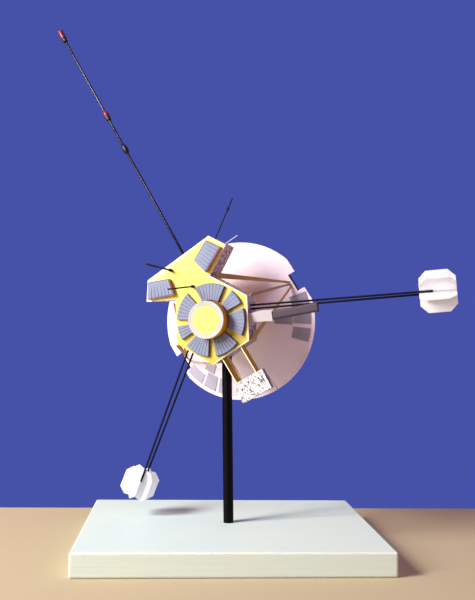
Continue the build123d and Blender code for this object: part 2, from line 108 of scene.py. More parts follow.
class ProbeColours(bpy.types.PropertyGroup):
    """Colours of the model's finishes."""

    board: colour_setting("Board paint", 206, 226, 220, "Matt paint on the board")
    board_front: colour_setting("Board sides", 217, 230, 214, "Yellowed paint on the upright sides")
    board_wear: colour_setting("Board wear", 226, 226, 212, "Undercoat along the board's edges")
    post: colour_setting("Post", 5, 4, 8, "Satin black paint on the dowel")
    deck: colour_setting("Deck", 244, 222, 84, "Yellow face of the two decks")
    deck_edge: colour_setting("Deck edge", 232, 214, 172, "Cut edge of the deck card")
    foil_print: colour_setting("Wall print", 206, 180, 196, "Crumpled-foil print on the bus walls")
    ring: colour_setting("Ring wall", 214, 140, 20, "Rolled wall of the launch ring")
    rim: colour_setting("Ring rim", 193, 198, 190, "White rim of the launch ring")
    cap: colour_setting("Ring cap", 250, 234, 100, "Disc inside the launch ring")
    louver: colour_setting("Louver", 132, 140, 168, "Blades of the louver boxes")
    louver_line: colour_setting("Louver line", 112, 110, 138, "Louver boxes under the blades")
    louver_side: colour_setting("Louver side", 186, 112, 30, "Sides of the bay's louver boxes")
    dish: colour_setting("Dish", 240, 222, 236, "White card of the dish")
    panel: colour_setting("Panel", 154, 146, 166, "Grey sensor panels on the dish")
    strut: colour_setting("Strut", 186, 144, 92, "Tan card of the struts")
    # Painted light: a pale tone that stands for the lit face of the lower left strut
    strut_lit: colour_setting("Strut lit", 216, 200, 184, "Unprinted side of the strut card")
    rail: colour_setting("Rail", 196, 140, 34, "Gold card of the bracket's rails")
    generator: colour_setting("Generator", 246, 247, 255, "White card of the generator fins")
    boom: colour_setting("Boom", 14, 9, 26, "Painted wire of the booms")
    bead: colour_setting("Red bead", 116, 26, 42, "Red paint of the boom's cap and bead")


class ProbeSizes(bpy.types.PropertyGroup):
    """Sizes of the patterns and of the small pieces, in metres."""

    blade_turn: FloatProperty(
        name="Blade step", description="Angle from one radial louver blade to the next", default=radians(6.4),
        min=radians(2), max=radians(20), subtype="ANGLE",
    )
    blade_width: length_setting("Blade width", 3.3, 1, 8, "Width of a blade on the bay's louver boxes")
    blade_rise: length_setting("Blade rise", 0.7, 0.2, 2, "Height of a radial louver blade over its box")
    bay_blade_rise: length_setting("Bay blade rise", 0.28, 0.2, 2, "Height of a blade over a box on the bay")
    blade_gap: length_setting("Blade gap", 0.2, 0.1, 2, "Width of the gap between two blades")
    boom_thick: length_setting("Boom thickness", 2.1, 1, 4, "Thickness of the painted magnetometer boom")
    bead_thick: length_setting("Bead thickness", 5.1, 3, 9, "Thickness of the boom's beads and its cap")


class ProbeStage(bpy.types.PropertyGroup):
    """Floor, light and camera."""

    floor: colour_setting("Floor", 184, 168, 136, "Plain pale floor")
    backdrop: colour_setting("Backdrop", 70, 82, 168, "Plain backdrop colour of the world")
    fill: colour_setting("Fill light", 200, 146, 198, "Colour of the light from all round")
    fill_strength: FloatProperty(
        name="Fill strength", description="Strength of the light from all round", default=0.36, min=0, max=5,
    )
    key_power: power_setting("Key light", 34.0, "Power of the soft light at the upper left")
    window_power: power_setting("Window light", 19.0, "Power of the low light at the front left")
    side_power: power_setting("Side light", 8.5, "Power of the weak light from the right")
    rear_power: power_setting("Rear light", 8.0, "Power of the weak light behind the dish")
    lens: FloatProperty(
        name="Lens", description="Focal length for a 36 mm high picture", default=48.0, min=10, max=200,
    )


# Node helpers


def add_node(tree, kind, inputs=None, **settings):
    """A node with its settings; an input is a plain value, a colour or another node's socket."""
    node = tree.nodes.new(kind)
    for name, value in settings.items():
        setattr(node, name, value)
    for key, value in (inputs or {}).items():
        socket = node.inputs[key]
        if isinstance(value, bpy.types.NodeSocket):
            tree.links.new(value, socket)
        else:
            socket.default_value = (*value, 1) if socket.type == "RGBA" else value
    return node


def calc(tree, operation, first, second=0.0):
    return add_node(tree, "ShaderNodeMath", {0: first, 1: second}, operation=operation).outputs[0]


def plus(tree, first, second):
    return calc(tree, "ADD", first, second)


def minus(tree, first, second):
    return calc(tree, "SUBTRACT", first, second)


def times(tree, first, second):
    return calc(tree, "MULTIPLY", first, second)


def apart(tree, first, second):
    """How far apart two values are."""
    return calc(tree, "ABSOLUTE", minus(tree, first, second))


def scaled(tree, vector, scale):
    return add_node(tree, "ShaderNodeVectorMath", {0: vector, "Scale": scale}, operation="SCALE").outputs[0]


def along(tree, vector, direction):
    """How far a vector reaches in a direction."""
    node = add_node(tree, "ShaderNodeVectorMath", {0: vector, 1: tuple(direction)}, operation="DOT_PRODUCT")
    return node.outputs["Value"]


def noise(tree, vector, scale, detail=3.0, roughness=0.5, distortion=0.0):
    node = add_node(tree, "ShaderNodeTexNoise", {
        "Vector": vector, "Scale": scale, "Detail": detail, "Roughness": roughness, "Distortion": distortion,
    })
    return node.outputs["Fac"]


def streaks(tree, vector, scales, detail, roughness, distortion=0.0):
    """Noise scaled unevenly along the three axes."""
    node = add_node(tree, "ShaderNodeMapping", {"Vector": vector, "Scale": scales}, vector_type="POINT")
    return noise(tree, node.outputs[0], 1.0, detail, roughness, distortion)


def fade(tree, value, start, end, low=0.0, high=1.0):
    """low before start, high after end, smooth between."""
    node = add_node(tree, "ShaderNodeMapRange", {
        "Value": value, "From Min": start, "From Max": end, "To Min": low, "To Max": high,
    }, interpolation_type="SMOOTHSTEP")
    return node.outputs[0]


def blend(tree, share, first, second):
    """The first colour, turned into the second by a share from 0 to 1."""
    return add_node(tree, "ShaderNodeMix", {0: share, 6: first, 7: second}, data_type="RGBA").outputs[2]


def facing(tree, direction):
    """How much the surface faces that way, from -1 to 1."""
    return along(tree, add_node(tree, "ShaderNodeNewGeometry").outputs["Normal"], direction)


def broad_face(tree):
    """1 on the broad faces of card that lies across the craft's axis, 0 on its cut edges."""
    return fade(tree, calc(tree, "ABSOLUTE", facing(tree, spin_axis)), 0.55, 0.75)


def split(tree, vector):
    return add_node(tree, "ShaderNodeSeparateXYZ", {0: vector}).outputs[:]


def inside_outline(tree, vector, corners):
    """How far inside a convex outline a point lies; the corners run anticlockwise."""
    nearest = None
    for (start_x, start_y), (end_x, end_y) in zip(corners, corners[1:] + corners[:1]):
        length = hypot(end_x - start_x, end_y - start_y)
        inward = ((start_y - end_y) / length, (end_x - start_x) / length, 0)
        depth = minus(tree, along(tree, vector, inward), inward[0] * start_x + inward[1] * start_y)
        nearest = depth if nearest is None else calc(tree, "MINIMUM", nearest, depth)
    return nearest


def new_group(name, inputs, outputs):
    """An empty node group with a vector input and further inputs with their defaults; Colour is a colour."""
    tree = bpy.data.node_groups.new(name, "ShaderNodeTree")
    tree.interface.new_socket("Vector", in_out="INPUT", socket_type="NodeSocketVector")
    kinds = {"Colour": "NodeSocketColor"}
    for key, default in inputs.items():
        kind = kinds.get(key, "NodeSocketFloat")
        tree.interface.new_socket(key, in_out="INPUT", socket_type=kind).default_value = default
    for key in outputs:
        tree.interface.new_socket(key, in_out="OUTPUT", socket_type=kinds.get(key, "NodeSocketFloat"))
    start = tree.nodes.new("NodeGroupInput").outputs
    end = tree.nodes.new("NodeGroupOutput").inputs
    return tree, start, end


# Shared effects


def card_surface():
    """Mottled, slightly fibrous card: its colour, roughness and height."""
    tree, start, end = new_group("Card surface", {
        "Colour": (1, 1, 1, 1), "Mottle": 0.1, "Specks": 0.2, "Roughness": 0.6,
    }, ["Colour", "Roughness", "Height"])
    vector = start["Vector"]
    clouds = noise(tree, vector, 0.07, 4)
    fibre = noise(tree, vector, 2.2, 5, 0.65, 0.6)
    speck = fade(tree, noise(tree, vector, 0.8, 2, 0.7), 0.70, 0.76)
    dark = times(tree, minus(tree, 0.62, clouds), start["Mottle"])
    dark = plus(tree, dark, times(tree, minus(tree, 0.55, fibre), 0.10))
    value = minus(tree, 1.0, dark)
    shade = scaled(tree, start["Colour"], value)
    grime = scaled(tree, shade, 0.55)
    share = times(tree, speck, start["Specks"])
    tree.links.new(blend(tree, share, shade, grime), end["Colour"])
    rough = plus(tree, start["Roughness"], times(tree, minus(tree, fibre, 0.5), 0.3))
    tree.links.new(rough, end["Roughness"])
    tree.links.new(plus(tree, times(tree, fibre, 0.4), clouds), end["Height"])
    return tree


def crumpled_foil():
    """Creases of crumpled foil: dark strokes, bright strokes and height."""
    tree, start, end = new_group("Crumpled foil", {"Size": 0.4}, ["Dark", "Bright", "Height"])
    vector, size = start["Vector"], start["Size"]
    warp = add_node(tree, "ShaderNodeTexNoise", {"Vector": vector, "Scale": size, "Detail": 3.0})
    push = scaled(tree, warp.outputs["Color"], 2.4)
    bent = add_node(tree, "ShaderNodeVectorMath", {0: vector, 1: push}, operation="ADD").outputs[0]
    pattern = {"Vector": bent, "Scale": size}
    cells = add_node(tree, "ShaderNodeTexVoronoi", pattern, feature="DISTANCE_TO_EDGE").outputs["Distance"]
    breaks = noise(tree, bent, 0.9, 3, 0.6)
    crease = fade(tree, cells, 0.02, 0.12, 1.0, 0.0)
    dark = times(tree, crease, fade(tree, breaks, 0.44, 0.54))
    tree.links.new(dark, end["Dark"])
    tree.links.new(fade(tree, noise(tree, bent, 1.3, 4, 0.7), 0.56, 0.68), end["Bright"])
    height = plus(tree, times(tree, cells, 1.6), times(tree, breaks, 0.5))
    tree.links.new(height, end["Height"])
    return tree


def settled_dust():
    """Fine dust on what faces up: its mask."""
    tree, start, end = new_group("Settled dust", {"Amount": 0.2}, ["Dust"])
    up = fade(tree, facing(tree, (0, 0, 1)), 0.2, 1.0)
    grain = fade(tree, noise(tree, start["Vector"], 1.6, 4, 0.75), 0.46, 0.72)
    tree.links.new(times(tree, times(tree, up, grain), start["Amount"]), end["Dust"])
    return tree


GROUP_MAKERS = {
    "Card surface": card_surface,
    "Crumpled foil": crumpled_foil,
    "Settled dust": settled_dust,
}


def effect(tree, name, **inputs):
    """One of the shared effects, placed in a material with its own values."""
    group = bpy.data.node_groups.get(name) or GROUP_MAKERS[name]()
    values = {key.capitalize(): value for key, value in inputs.items()}
    return add_node(tree, "ShaderNodeGroup", values, node_tree=group).outputs


# Modelling helpers


def start_piece(name, add, **settings):
    """A new primitive by itself, in edit mode with everything selected."""
    if bpy.context.object and bpy.context.object.mode != "OBJECT":
        bpy.ops.object.mode_set(mode="OBJECT")
    bpy.ops.object.select_all(action="DESELECT")
    add(**settings)
    bpy.context.object.name = name
    bpy.ops.object.mode_set(mode="EDIT")
    bpy.ops.mesh.select_mode(type="FACE")
    bpy.ops.mesh.select_all(action="SELECT")
    return bpy.context.object


def pick_faces(test):
    """In edit mode, select only the faces whose middle passes the test."""
    bpy.ops.mesh.select_all(action="DESELECT")
    bpy.ops.object.mode_set(mode="OBJECT")
    for face in bpy.context.object.data.polygons:
        face.select = test(face.center)
    bpy.ops.object.mode_set(mode="EDIT")


def select_only(pieces):
    """Select these pieces, the first one active."""
    bpy.ops.object.select_all(action="DESELECT")
    for piece in pieces:
        piece.select_set(True)
    bpy.context.view_layer.objects.active = pieces[0]


def settle(piece, place):
    """Move a piece that was modelled at the origin to its place, and leave it unturned and unscaled."""
    select_only([piece])
    piece.matrix_world = place
    bpy.ops.object.transform_apply(location=True, rotation=True, scale=True)


def copy_piece(piece, place):
    """A copy with its own mesh, settled at its place."""
    select_only([piece])
    bpy.ops.object.duplicate(linked=False)
    copy = bpy.context.object
    settle(copy, place)
    return copy


def join_pieces(pieces, name):
    """Like pieces as one, under one name."""
    select_only(pieces)
    if len(pieces) > 1:
        bpy.ops.object.join()
    pieces[0].name = name
    return pieces[0]


def craft_place(x, y, z):
    """Matrix from the origin to a point of the craft's frame, in millimetres, turned with the craft."""
    return Matrix.Translation(spot(x, y, z)) @ CRAFT_TURN.to_4x4()


def along_line(point, ahead):
    """Matrix that carries a piece to a point of the model's frame with its z axis ahead."""
    return Matrix.Translation(point) @ ahead.to_track_quat("Z", "Y").to_matrix().to_4x4()


def rod_ends(name):
    """Middles of the lower and the upper end of a straight rod of the frame."""
    points = [vertex.co.copy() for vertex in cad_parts[name].data.vertices]
    points.sort(key=lambda point: point.z)
    ahead = (points[-1] - points[0]).normalized()
    reach = [point.dot(ahead) for point in points]
    ends = []
    for end in (min(reach), max(reach)):
        rim = [point for point, place in zip(points, reach) if abs(place - end) < 0.5 * MM]
        ends.append(sum(rim, Vector()) / len(rim))
    return ends


# Finishes

CARD_DUST = srgb(214, 206, 200)
CARD_RELIEF = 0.05


class Finish:
    """One material in the making: its tree, its shader and the surface's coordinates in millimetres."""

    def __init__(self, name, on_craft=True, roughness=0.6, specular=0.35, coat=0.0, coat_roughness=0.03):
        self.material = bpy.data.materials.new(name)
        self.material.use_nodes = True
        self.tree = self.material.node_tree
        self.tree.nodes.clear()
        self.shader = add_node(self.tree, "ShaderNodeBsdfPrincipled", {
            "Roughness": roughness, "Specular IOR Level": specular,
            "Coat Weight": coat, "Coat Roughness": coat_roughness,
        })
        add_node(self.tree, "ShaderNodeOutputMaterial", {0: self.shader.outputs[0]})
        place = add_node(self.tree, "ShaderNodeTexCoord").outputs["Object"]
        self.mm = add_node(self.tree, "ShaderNodeMapping", {
            "Vector": place,
            "Location": tuple(CRAFT_PLACE) if on_craft else (0, 0, 0),
            "Rotation": tuple(CRAFT_TURN.to_euler()) if on_craft else (0, 0, 0),
            "Scale": (MM, MM, MM),
        }, vector_type="TEXTURE").outputs[0]

    def colour(self, socket):
        self.tree.links.new(socket, self.shader.inputs["Base Color"])

    def tint(self, share, colour):
        """Turn the colour that the finish has so far into another by a share from 0 to 1."""
        tone = self.shader.inputs["Base Color"].links[0].from_socket
        self.colour(blend(self.tree, share, tone, colour))

    def roughness(self, socket):
        self.tree.links.new(socket, self.shader.inputs["Roughness"])

    def relief(self, height, depth):
        """Bump from a height whose full range is depth, in millimetres."""
        bump = add_node(self.tree, "ShaderNodeBump", {"Distance": depth * MM, "Height": height})
        self.tree.links.new(bump.outputs[0], self.shader.inputs["Normal"])

    def cover(self, piece):
        """The finish on a piece of the scene's own."""
        piece.data.materials.clear()
        piece.data.materials.append(self.material)
        return piece

    def put_on(self, *names):
        """The finish on CAD parts."""
        for name in names:
            material_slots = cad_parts[name].data.materials
            material_slots.clear()
            material_slots.append(self.material)


def card_finish(
    name, colour, mottle=0.12, specks=0.25, roughness=0.6, edge=None, front=None, dust=0.1, coat=0.0
):
    """Plain card; edge is the colour of its cut edges, front that of the side that faces aft."""
    made = Finish(name, specular=0.3, coat=coat, coat_roughness=0.38)
    tree = made.tree
    card = effect(
        tree, "Card surface", vector=made.mm, colour=colour, mottle=mottle, specks=specks, roughness=roughness
    )
    tone = card["Colour"]
    if edge is not None:
        core = effect(tree, "Card surface", vector=made.mm, colour=edge, mottle=0.4, specks=0.6)
        tone = blend(tree, broad_face(tree), core["Colour"], tone)
    if front is not None:
        tone = blend(tree, fade(tree, facing(tree, spin_axis), 0.55, 0.8), tone, front)
    mask = effect(tree, "Settled dust", vector=made.mm, amount=dust)["Dust"]
    made.colour(blend(tree, mask, tone, CARD_DUST))
    made.roughness(card["Roughness"])
    made.relief(card["Height"], CARD_RELIEF)
    return made


class ProbeOperator:
    """What the steps share: they can be undone"""

    bl_options = {"REGISTER", "UNDO"}


STREAK_TINT = srgb(206, 216, 216)
CLOUD_TINT = srgb(222, 226, 208)
DENT_TINT = srgb(160, 158, 148)
BOARD_DUST = srgb(226, 224, 218)
# How far the undercoat shows from the board's edges, in millimetres
LEAST_WEAR, MOST_WEAR = 0.4, 1.6
DOWEL_GRAIN = srgb(10, 9, 14)
DOWEL_SCUFF = srgb(48, 42, 50)


class FinishStand(ProbeOperator, bpy.types.Operator):
    """Paint the base board and the dowel"""

    bl_idname = "probe.finish_stand"
    bl_label = "Finish the stand"

    def execute(self, context):
        colours = context.scene.probe_colours
        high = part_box("base_board")[1]
        half_x, half_y, top = high.x / MM, high.y / MM, high.z / MM
        board = Finish("board_paint", on_craft=False, roughness=0.55)
        tree = board.tree
        x, y, z = split(tree, board.mm)
        streak = streaks(tree, board.mm, (0.012, 0.55, 0.55), 5, 0.6)
        clouds = noise(tree, board.mm, 0.018, 4)
        dents = fade(tree, noise(tree, board.mm, 0.16, 3, 0.6), 0.70, 0.78)
        # The distance from the nearest edge is the middle one of the distances from the sides, ends and faces
        from_side = minus(tree, half_x, calc(tree, "ABSOLUTE", x))
        from_front = minus(tree, half_y, calc(tree, "ABSOLUTE", y))
        from_face = minus(tree, top / 2, apart(tree, z, top / 2))
        nearer = calc(tree, "MINIMUM", from_side, from_front)
        farther = calc(tree, "MAXIMUM", from_side, from_front)
        from_edge = calc(tree, "MAXIMUM", nearer, calc(tree, "MINIMUM", farther, from_face))
        chips = streaks(tree, board.mm, (0.35, 0.35, 1.0), 5, 0.7)
        reach = fade(tree, chips, 0.30, 0.72, LEAST_WEAR, MOST_WEAR)
        wear = fade(tree, minus(tree, from_edge, reach), -0.4, 0.6, 1.0, 0.0)
        upward = fade(tree, facing(tree, (0, 0, 1)), 0.4, 0.8)
        tone = blend(tree, upward, colours.board_front, colours.board)
        tone = blend(tree, fade(tree, streak, 0.35, 0.75, 0.0, 0.5), tone, STREAK_TINT)
        tone = blend(tree, fade(tree, clouds, 0.4, 0.65, 0.0, 0.35), tone, CLOUD_TINT)
        tone = blend(tree, wear, tone, colours.board_wear)
        tone = blend(tree, times(tree, dents, 0.35), tone, DENT_TINT)
        dust = effect(tree, "Settled dust", vector=board.mm, amount=0.25)["Dust"]
        board.colour(blend(tree, dust, tone, BOARD_DUST))
        board.roughness(fade(tree, streak, 0.2, 0.8, 0.42, 0.66))
        rise = plus(tree, times(tree, streak, 0.5), times(tree, wear, -0.8))
        board.relief(minus(tree, rise, times(tree, dents, 0.4)), 0.25)
        board.put_on("base_board")

        post = Finish("dowel_black", on_craft=False, specular=0.06)
        tree = post.tree
        grain = streaks(tree, post.mm, (1.6, 1.6, 0.03), 5, 0.6)
        scuffs = fade(tree, streaks(tree, post.mm, (0.5, 0.5, 0.12), 4, 0.7), 0.62, 0.74)
        tone = blend(tree, fade(tree, grain, 0.4, 0.8), colours.post, DOWEL_GRAIN)
        post.colour(blend(tree, times(tree, scuffs, 0.35), tone, DOWEL_SCUFF))
        post.roughness(fade(tree, grain, 0.25, 0.75, 0.42, 0.6))
        post.relief(grain, 0.12)
        post.put_on("post")
        return {"FINISHED"}


# Painted shade and painted sheen for the deck's yellow
DECK_SHADE = srgb(200, 177, 26)
DECK_PAINTED_SHEEN = srgb(252, 248, 236)
DECK_WORN = srgb(252, 244, 206)


def deck_outlines():
    """The aft deck's hexagon, and the bay's outline with its lower edges run on into it, in millimetres."""
    across, up = cos(radians(30)), sin(radians(30))
    hexagon = [(HEX_SIDE * cos(radians(turn)), HEX_SIDE * sin(radians(turn))) for turn in range(0, 360, 60)]
    corner_x, corner_y = HEX_SIDE / 2 + BAY_WALL * across, HEX_SIDE * across + BAY_WALL * up
    top_x, top_y = corner_x - BAY_END * up, corner_y + BAY_END * across
    bay = [
        (0, HEX_SIDE / sqrt(3)), (corner_x + BAY_LEAN, corner_y), (top_x + BAY_LEAN, top_y),
        (BAY_LEAN - top_x, top_y), (-corner_x, corner_y),
    ]
    return hexagon, bay


class FinishDecks(ProbeOperator, bpy.types.Operator):
    """Give the two decks their yellow card"""

    bl_idname = "probe.finish_decks"
    bl_label = "Finish the decks"

    def execute(self, context):
        colours = context.scene.probe_colours
        deck = Finish("deck_yellow", roughness=0.45, specular=0.4, coat=0.6, coat_roughness=0.4)
        tree = deck.tree
        x, y, _ = split(tree, deck.mm)
        # Painted light: the yellow pales into a painted sheen towards the bay and darkens into painted shade
        # away from it
        lean = minus(tree, y, times(tree, x, 0.12))
        painted_light_level = plus(tree, lean, times(tree, noise(tree, deck.mm, 0.05), 12))
        face = blend(tree, fade(tree, painted_light_level, -30, 45), DECK_SHADE, colours.deck)
        face = blend(tree, fade(tree, painted_light_level, 58, 76, 0.0, 0.9), face, DECK_PAINTED_SHEEN)
        # The outline is worn pale, but for the hexagon's left side
        hexagon, bay = deck_outlines()
        unworn_left = fade(tree, x, -30, -8, 2.2, 0.0)
        hexagon_rim = plus(tree, inside_outline(tree, deck.mm, hexagon), unworn_left)
        rim = calc(tree, "MAXIMUM", hexagon_rim, inside_outline(tree, deck.mm, bay))
        worn = plus(tree, rim, fade(tree, noise(tree, deck.mm, 0.3), 0.3, 0.7, -0.5, 0.5))
        face = blend(tree, fade(tree, worn, 0.5, 2.0, 0.72, 0.0), face, DECK_WORN)
        card = effect(tree, "Card surface", vector=deck.mm, colour=colours.deck, specks=0.1, roughness=0.45)
        deck.colour(blend(tree, broad_face(tree), colours.deck_edge, face))
        deck.roughness(card["Roughness"])
        deck.relief(card["Height"], 0.04)
        deck.put_on("aft_deck")
        fore = card_finish("front_deck_yellow", colours.deck, specks=0.15, edge=colours.foil_print, dust=0.05)
        fore.put_on("front_deck")
        return {"FINISHED"}


PRINT_SHADE = srgb(92, 62, 84)
PRINT_CREASE = srgb(46, 28, 46)
PRINT_GLINT = srgb(232, 216, 224)


class FinishBus(ProbeOperator, bpy.types.Operator):
    """Print the bus walls and the bay with crumpled foil"""

    bl_idname = "probe.finish_bus"
    bl_label = "Finish the bus"

    def execute(self, context):
        colours = context.scene.probe_colours
        walls = Finish("foil_print", roughness=0.5, specular=0.4)
        tree = walls.tree
        foil = effect(tree, "Crumpled foil", vector=walls.mm, size=0.42)
        patches = noise(tree, walls.mm, 0.40, 5, 0.65)
        tone = blend(tree, fade(tree, patches, 0.42, 0.56), PRINT_SHADE, colours.foil_print)
        tone = blend(tree, times(tree, foil["Dark"], 0.85), tone, PRINT_CREASE)
        walls.colour(blend(tree, times(tree, foil["Bright"], 0.8), tone, PRINT_GLINT))
        walls.roughness(fade(tree, patches, 0.3, 0.7, 0.35, 0.6))
        walls.relief(foil["Height"], 0.35)
        walls.put_on("bus_body", "experiment_bay")
        return {"FINISHED"}


# Radii on the ring's rim in millimetres: the pressed line, and the middle of the clean band
RIM_LINE, RIM_CLEAN = 12.7, 13.0
RIM_LINE_TINT = srgb(132, 118, 128)
RIM_GRIME = srgb(176, 158, 160)


class FinishRing(ProbeOperator, bpy.types.Operator):
    """Give the launch ring its gold wall, white rim and yellow disc"""

    bl_idname = "probe.finish_ring"
    bl_label = "Finish the launch ring"

    def execute(self, context):
        colours = context.scene.probe_colours
        wall = card_finish("ring_gold", colours.ring, mottle=0.3, specks=0.35, roughness=0.5)
        wall.put_on("ring_wall")

        rim = Finish("rim_white")
        tree = rim.tree
        x, y, _ = split(tree, rim.mm)
        radius = calc(tree, "SQRT", plus(tree, times(tree, x, x), times(tree, y, y)))
        card = effect(tree, "Card surface", vector=rim.mm, colour=colours.rim, mottle=0.25, specks=0.5)
        waver = times(tree, noise(tree, rim.mm, 0.5), 0.9)
        line = fade(tree, apart(tree, radius, plus(tree, RIM_LINE, waver)), 0.12, 0.38, 0.08, 0.0)
        spots = times(tree, noise(tree, rim.mm, 1.1, 4, 0.7), 2.4)
        grubby = fade(tree, plus(tree, apart(tree, radius, RIM_CLEAN), spots), 2.1, 3.1, 0.0, 0.6)
        tone = blend(tree, line, card["Colour"], RIM_LINE_TINT)
        rim.colour(blend(tree, grubby, tone, RIM_GRIME))
        rim.roughness(card["Roughness"])
        rim.relief(minus(tree, card["Height"], line), 0.12)
        rim.put_on("ring_rim")

        disc = card_finish("cap_yellow", colours.cap, mottle=0.08, specks=0.15, dust=0.05, coat=0.9)
        disc.put_on("ring_cap")
        return {"FINISHED"}


# Radial louver boxes: letter, angle of the middle and angle covered, in degrees
LOUVER_SETS = [
    ("a", 58.7, 51), ("b", 7.0, 25), ("c", -36.0, 43), ("d", -92.0, 42), ("e", -147.0, 42), ("f", 168.7, 23),
    ("g", 123.7, 46),
]
# Dark sides of the radial louver boxes: a dark outline, darkened further as painted shade
LOUVER_EDGE_SHADED = srgb(70, 62, 82)
# Radii in millimetres between which a radial blade lies
BLADE_INNER, BLADE_OUTER = 15.9, 28.7
# The bay's right louver box: ends of its lower edge and of its upper edge; the left one is mirrored
BAY_BLADE_ENDS = [((16.7, 34.3), (37.1, 43.4)), ((13.7, 47.3), (29.9, 54.6))]
# How much shorter a bay blade is than its box, in millimetres
BAY_BLADE_MARGIN = 1.0
# A blade's raised face: its distance from the sides, its rise, and its lean as a share of the inner width
CROWN_INSET = 0.11 * MM
CROWN_RISE = 0.07 * MM
CROWN_LEAN = 0.06


def louver_top(name):
    """How far aft a louver box's face lies along the craft's axis, in millimetres."""
    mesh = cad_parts[name].data
    return max((vertex.co - CRAFT_PLACE).dot(spin_axis) for vertex in mesh.vertices) / MM


class FinishLouvers(ProbeOperator, bpy.types.Operator):
    """Give the louver boxes their dark faces and card sides"""

    bl_idname = "probe.finish_louvers"
    bl_label = "Finish the louvers"

    def execute(self, context):
        colours = context.scene.probe_colours
        for name, side, nodes in [
            ("louver_box", LOUVER_EDGE_SHADED, [f"louver_{row[0]}" for row in LOUVER_SETS]),
            ("bay_louver_box", colours.louver_side, ["bay_louver_left", "bay_louver_right"]),
        ]:
            box = card_finish(name, colours.louver_line, mottle=0.3, specks=0.3, edge=side)
            box.put_on(*nodes)
        return {"FINISHED"}


class RaiseBlades(ProbeOperator, bpy.types.Operator):
    """Lay thin leaning blades on the louver boxes, a dark gap apart"""

    bl_idname = "probe.raise_blades"
    bl_label = "Raise the louver blades"

    def blade(self, length, inner_width, outer_width, thick):
        """One blade, its length along x and its foot on the plane z = 0, in metres."""
        piece = start_piece("blade", bpy.ops.mesh.primitive_cube_add, size=1)
        bpy.ops.transform.resize(value=(length, 1, thick))
        bpy.ops.transform.translate(value=(0, 0, thick / 2))
        for end, width in ((-1, inner_width), (1, outer_width)):
            pick_faces(lambda middle: middle.x * end > length / 4)
            bpy.ops.transform.resize(value=(1, width, 1))
        pick_faces(lambda middle: middle.z > thick * 0.75)
        bpy.ops.mesh.inset(thickness=CROWN_INSET, depth=0)
        bpy.ops.transform.translate(value=(0, -inner_width * CROWN_LEAN, CROWN_RISE))
        bpy.ops.object.mode_set(mode="OBJECT")
        return piece

    def raise_radial(self, sizes, paint):
        top = louver_top("louver_a")
        for letter, middle, covered in LOUVER_SETS:
            count = round(radians(covered) / sizes.blade_turn)
            step = radians(covered) / count
            inner, outer = BLADE_INNER * MM, BLADE_OUTER * MM
            widths = [radius * step - sizes.blade_gap for radius in (inner, outer)]
            first = self.blade(outer - inner, *widths, sizes.blade_rise)
            outward = Matrix.Translation(((outer + inner) / 2, 0, 0))
            copies = []
            for number in range(count):
                angle = radians(middle) + (number - (count - 1) / 2) * step
                place = craft_place(0, 0, top) @ Matrix.Rotation(angle, 4, "Z") @ outward
                copies.append(copy_piece(first, place))
            bpy.data.objects.remove(first)
            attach(paint.cover(join_pieces(copies, f"blades_{letter}")), "root")

    def raise_bay(self, sizes, paint):
        top = louver_top("bay_louver_right")
        for side_name, side in (("right", 1), ("left", -1)):
            ends = [[Vector((side * x + BAY_LEAN / 2, y, 0)) for x, y in pair] for pair in BAY_BLADE_ENDS]
            (low_first, low_last), (high_first, high_last) = ends
            low_side, high_side = (low_last - low_first).length, (high_last - high_first).length
            count = round(low_side / (sizes.blade_width / MM))
            width = (low_side + high_side) / 2 / count - sizes.blade_gap / MM
            # A blade of one millimetre, stretched in each copy
            first = self.blade(MM, MM, MM, sizes.bay_blade_rise)
            copies = []
            for number in range(count):
                share = (number + 0.5) / count
                low, high = low_first.lerp(low_last, share), high_first.lerp(high_last, share)
                way, middle = high - low, (low + high) / 2
                stretch = Matrix.Diagonal((way.length - BAY_BLADE_MARGIN, width, 1, 1))
                turned = Matrix.Rotation(atan2(way.y, way.x), 4, "Z") @ stretch
                copies.append(copy_piece(first, craft_place(middle.x, middle.y, top) @ turned))
            bpy.data.objects.remove(first)
            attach(paint.cover(join_pieces(copies, f"bay_blades_{side_name}")), "root")

    def execute(self, context):
        colours, sizes = context.scene.probe_colours, context.scene.probe_sizes
        paint = card_finish(
            "blade_grey", colours.louver, mottle=0.3, specks=0.4, roughness=0.5, edge=colours.louver_line,
        )
        self.raise_radial(sizes, paint)
        self.raise_bay(sizes, paint)
        return {"FINISHED"}


# The cone's seam: its lean, and between which heights it fades out, in millimetres
SEAM_LEAN = 0.0227
SEAM_FROM, SEAM_TO = -54, -50
SEAM_TINT = srgb(84, 66, 80)
# Painted light for the dish's lit left panels
PANEL_PAINTED_LIGHT = srgb(206, 200, 218)
NOTCH_BLACK = srgb(22, 18, 26)


class FinishDish(ProbeOperator, bpy.types.Operator):
    """Give the dish, its hub and its panels their card"""

    bl_idname = "probe.finish_dish"
    bl_label = "Finish the dish"

    def execute(self, context):
        colours = context.scene.probe_colours
        card = card_finish("dish_card", colours.dish, mottle=0.10, specks=0.30, roughness=0.62)
        tree = card.tree
        x, y, _ = split(tree, card.mm)
        line = fade(tree, apart(tree, x, times(tree, y, SEAM_LEAN)), 0.15, 0.45, 0.75, 0.0)
        seam = times(tree, line, fade(tree, y, SEAM_FROM, SEAM_TO, 1.0, 0.0))
        card.tint(seam, SEAM_TINT)
        card.put_on("dish", "dish_hub")
        panel = card_finish("panel_grey", colours.panel, mottle=0.25, specks=0.2, roughness=0.55)
        x = split(panel.tree, panel.mm)[0]
        # Painted light: the panels grow lighter towards the left, where light falls on them
        panel.tint(fade(panel.tree, x, -45, 10, 0.38, 0.0), PANEL_PAINTED_LIGHT)
        panel.put_on("dish_panels")
        bar = card_finish("notch_black", NOTCH_BLACK, mottle=0.3, specks=0.1, roughness=0.5)
        bar.put_on("notch_bar_left", "notch_bar_right")
        return {"FINISHED"}


STRUT_DULL = srgb(158, 126, 108)


